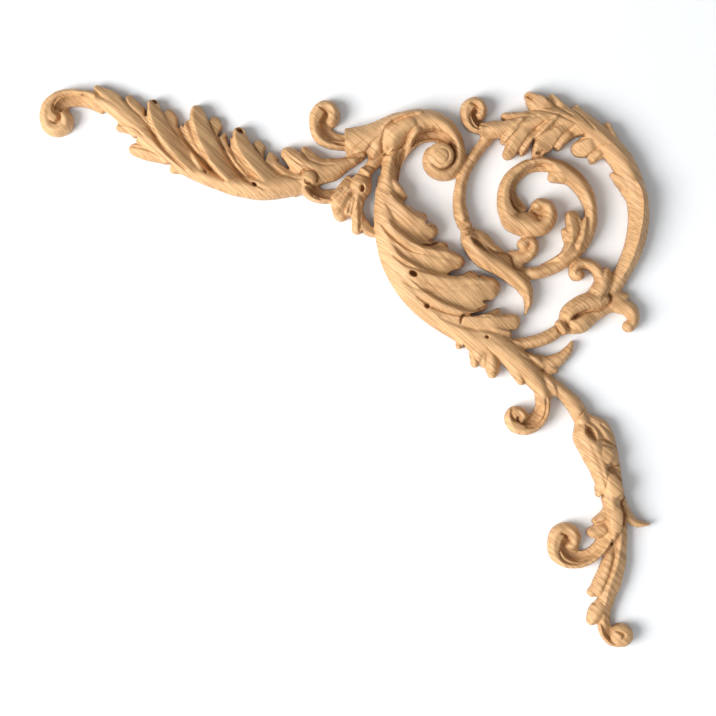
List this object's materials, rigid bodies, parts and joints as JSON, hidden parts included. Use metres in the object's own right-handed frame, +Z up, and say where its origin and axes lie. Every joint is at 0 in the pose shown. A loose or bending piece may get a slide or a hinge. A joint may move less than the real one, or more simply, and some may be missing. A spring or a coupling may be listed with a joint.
{
  "type": "carved corner applique",
  "caption": "Carved oak corner applique: openwork acanthus leaves, buds and volutes turning a corner, flat-backed to lie on a door or panel.",
  "frame": {"origin": "on the flat back, behind the widest part of the main leaf", "axes": "+X to the viewer's right, +Z up, -Y out of the wall towards the viewer; the flat back lies in the plane Y = 0"},
  "size_m": [0.4199, 0.022, 0.3864],
  "materials": {
    "oak": "bare sanded oak with a fine straight grain running across it from upper left to lower right"
  },
  "bodies": {
    "root": {"corner_applique": "oak"}
  },
  "joints": []
}
